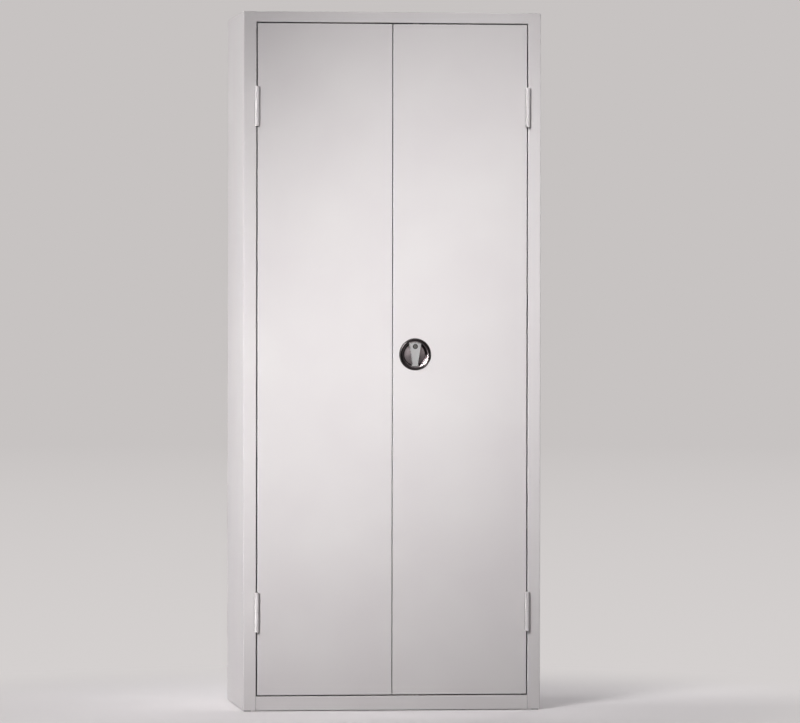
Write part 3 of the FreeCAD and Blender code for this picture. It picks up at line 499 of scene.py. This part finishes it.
# The border was polished finer, and hands keep it so: it shows nearly white, with a
# faint change of gloss where it is wiped.
surface = add(tree, "ShaderNodeTexCoord")
wipe = add(tree, "ShaderNodeTexNoise", {"Vector": surface.outputs["Object"], "Scale": 1 / hand_wear,
                                        "Detail": 3.0})
mirror_tone = add(tree, "ShaderNodeValToRGB", {"Fac": wipe.outputs["Fac"]})
mirror_tone.color_ramp.elements[0].color = linear("F0F0F1")
mirror_tone.color_ramp.elements[1].color = linear("FAFAF9")
mirror_rough = add(tree, "ShaderNodeMapRange", {"Value": wipe.outputs["Fac"], "To Min": 0.24, "To Max": 0.32})
connect(tree, mirror, {"Base Color": mirror_tone.outputs["Color"], "Metallic": 1.0,
                       "Roughness": mirror_rough.outputs["Result"]})


def lever_outline(inset):
    """The grip's outline in millimetres, drawn inward by an inset, counter-clockwise."""
    reach = lever_reach - inset
    waist = waist_half - inset
    points = []
    for half, way in ((top_half - inset, 1), (toe_half - inset, -1)):
        end = math.asin(half / reach)
        arc = [end - 2 * end * step / arc_steps for step in range(arc_steps + 1)]
        points += [(way * reach * math.sin(angle), way * reach * math.cos(angle)) for angle in arc]
        points.append((-way * waist, -waist_drop))
    return points


# The inset and y of each outline: the back, the rounded front edge, the flat border
# and the sunk face.
grip_levels = [(0.0, lever_back), (0.0, lever_front + 1.5), (0.5, lever_front + 0.45), (1.0, lever_front),
               (lever_border, lever_front), (lever_border + 0.3, lever_front + lever_sink)]
grip_form = bmesh.new()
loops = [ring_at(grip_form, lever_outline(inset), y) for inset, y in grip_levels]
for loop, inner in zip(loops, loops[1:]):
    for face in join_rings(grip_form, loop, inner):
        face.material_index = 1
grip_form.faces.new(loops[0])
grip_form.faces.new(loops[-1])
bmesh.ops.recalc_face_normals(grip_form, faces=grip_form.faces)
grip = place_mesh("lever_grip", grip_form)
grip.data.materials.append(satin_chrome)
grip.data.materials.append(fine_chrome)
plug_z = handle_z + plug_offset * mm
barrel_radius = 7.05
bore_front, bore_back = -260, -240
bore_profile = [(0.01, bore_front), (barrel_radius, bore_front), (barrel_radius, bore_back),
                (0.01, bore_back)]
lever_sides = 64
carve(grip, turned("barrel_cutter", bore_profile, lever_sides, handle_x, plug_z))
soften(grip, grip_rounding)
spindle_bore, boss_radius = 5.75, 7.0
boss_back, boss_chamfer = -231, 0.4
boss_profile = [(spindle_bore, lever_back), (boss_radius, lever_back),
                (boss_radius, boss_back - boss_chamfer), (boss_radius - boss_chamfer, boss_back),
                (spindle_bore, boss_back)]
boss = turned("lever_boss", boss_profile, lever_sides, handle_x, handle_z)
boss.data.materials.append(satin_chrome)
boss.parent = grip
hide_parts("turn_lever")
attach(grip, "lever")

# Lock: a dark nickel barrel in the lever's wide end and a bright plug with the key
# slot, whose cam reaches into a pocket of the dish.
barrel_ring = 1.2 * mm
dark_nickel, tree, darkened = start_material("dark_nickel_barrel")
# Turned and darkened brass: near black, with fine turning rings that glint.
surface = add(tree, "ShaderNodeTexCoord")
from_plug = add(tree, "ShaderNodeVectorMath", {0: surface.outputs["Object"], 1: (handle_x, 0.0, plug_z)},
                operation="SUBTRACT")
barrel_rings = add(tree, "ShaderNodeTexWave", {"Vector": from_plug.outputs["Vector"],
                                               "Scale": 1 / barrel_ring, "Distortion": 0.5},
                   wave_type="RINGS", rings_direction="Y")
barrel_tone = add(tree, "ShaderNodeValToRGB", {"Fac": barrel_rings.outputs["Fac"]})
barrel_tone.color_ramp.elements[0].color = linear("2C2B2B")
barrel_tone.color_ramp.elements[1].color = linear("3A3838")
barrel_bump = add(tree, "ShaderNodeBump", {"Height": barrel_rings.outputs["Fac"], "Strength": 0.2,
                                           "Distance": 0.02 * mm})
connect(tree, darkened, {"Base Color": barrel_tone.outputs["Color"], "Normal": barrel_bump.outputs["Normal"],
                         "Metallic": 1.0, "Roughness": 0.3})
key_scratch = 0.8 * mm
bright_nickel, tree, plated = start_material("bright_nickel_plug")
# Faced and nickel plated: a bright warm grey with scratches from the key.
surface = add(tree, "ShaderNodeTexCoord")
scratches = add(tree, "ShaderNodeTexNoise", {"Vector": surface.outputs["Object"], "Scale": 1 / key_scratch,
                                             "Detail": 4.0})
plug_tone = add(tree, "ShaderNodeValToRGB", {"Fac": scratches.outputs["Fac"]})
plug_tone.color_ramp.elements[0].color = linear("A9A7A3")
plug_tone.color_ramp.elements[1].color = linear("C9C7C3")
plug_bump = add(tree, "ShaderNodeBump", {"Height": scratches.outputs["Fac"], "Strength": 0.2,
                                         "Distance": 0.02 * mm})
connect(tree, plated, {"Base Color": plug_tone.outputs["Color"], "Normal": plug_bump.outputs["Normal"],
                       "Metallic": 1.0, "Roughness": 0.24})
dress(dark_nickel, "lock_barrel")
dress(bright_nickel, "lock_plug")
dress(zinc_plate, "plug_cam")

# Rod lock: pinion, racks, rods and tongue of zinc-plated steel in a folded case on
# the dish's back, held by two pan head screws, with a third in the spindle's end.
dress(zinc_plate, "lock_case_front", "lock_case_cover", "spindle", "pinion", "upper_rack", "lower_rack",
      "upper_rod", "lower_rod", "locking_tongue", "strike_plate", "top_keeper", "bottom_keeper")
screw_sides = 32
head_rise = 1.4
cross_depth = 1.6
cross_long, cross_wide = 1.1, 0.28


def pan_screw(name, centre_x, centre_z, seat, radius, body):
    """A pan head with a cross recess, seen from the cabinet's inside, seated at a y in millimetres."""
    dome = [(0.05, 0.0), (radius, 0.0), (radius, 0.35), (radius * 0.92, 0.8), (radius * 0.7, 1.15),
            (0.05, head_rise)]
    head = turned(name, [(out, seat + rise) for out, rise in dome], screw_sides, centre_x, centre_z)
    cross_form = bmesh.new()
    for wide, tall in ((cross_long, cross_wide), (cross_wide, cross_long)):
        size = Matrix.Diagonal((radius * wide * mm, cross_depth * mm, radius * tall * mm, 1))
        spot = Matrix.Translation((centre_x, (seat + head_rise) * mm, centre_z))
        bmesh.ops.create_cube(cross_form, size=1.0, matrix=spot @ size)
    carve(head, place_mesh(name + "_cross", cross_form))
    head.data.materials.append(zinc_plate)
    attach(head, body)


case_screw_x, case_screw_z = 25 * mm, 12 * mm
case_seat, case_screw_radius = -230.1, 2.8
tongue_seat, tongue_screw_radius = -222.2, 5.2
for side_name, side in (("left", -1), ("right", 1)):
    pan_screw("case_screw_" + side_name, handle_x + side * case_screw_x, handle_z + side * case_screw_z,
              case_seat, case_screw_radius, "right_door")
pan_screw("tongue_screw", handle_x, handle_z, tongue_seat, tongue_screw_radius, "lever")

# Rod guides: moulded blocks on the door skin and square bushings in the door's
# edges, of natural white polyamide.
milk_cloud = 6 * mm
white_polyamide, tree, natural = start_material("natural_polyamide")
# Unpigmented moulding: a milky, slightly yellow white with a waxy gloss.
surface = add(tree, "ShaderNodeTexCoord")
milk = add(tree, "ShaderNodeTexNoise", {"Vector": surface.outputs["Object"], "Scale": 1 / milk_cloud,
                                        "Detail": 2.0})
milk_tone = add(tree, "ShaderNodeValToRGB", {"Fac": milk.outputs["Fac"]})
milk_tone.color_ramp.elements[0].color = linear("DDDACB")
milk_tone.color_ramp.elements[1].color = linear("E8E6DB")
milk_bump = add(tree, "ShaderNodeBump", {"Height": milk.outputs["Fac"], "Strength": 0.2,
                                         "Distance": 0.03 * mm})
connect(tree, natural, {"Base Color": milk_tone.outputs["Color"], "Normal": milk_bump.outputs["Normal"],
                        "Roughness": 0.4, "IOR": 1.53, "Subsurface Weight": 0.15,
                        "Subsurface Radius": (1 * mm, 1 * mm, 0.8 * mm)})
dress(white_polyamide, "upper_rod_guide", "lower_rod_guide", "rod_bushings")
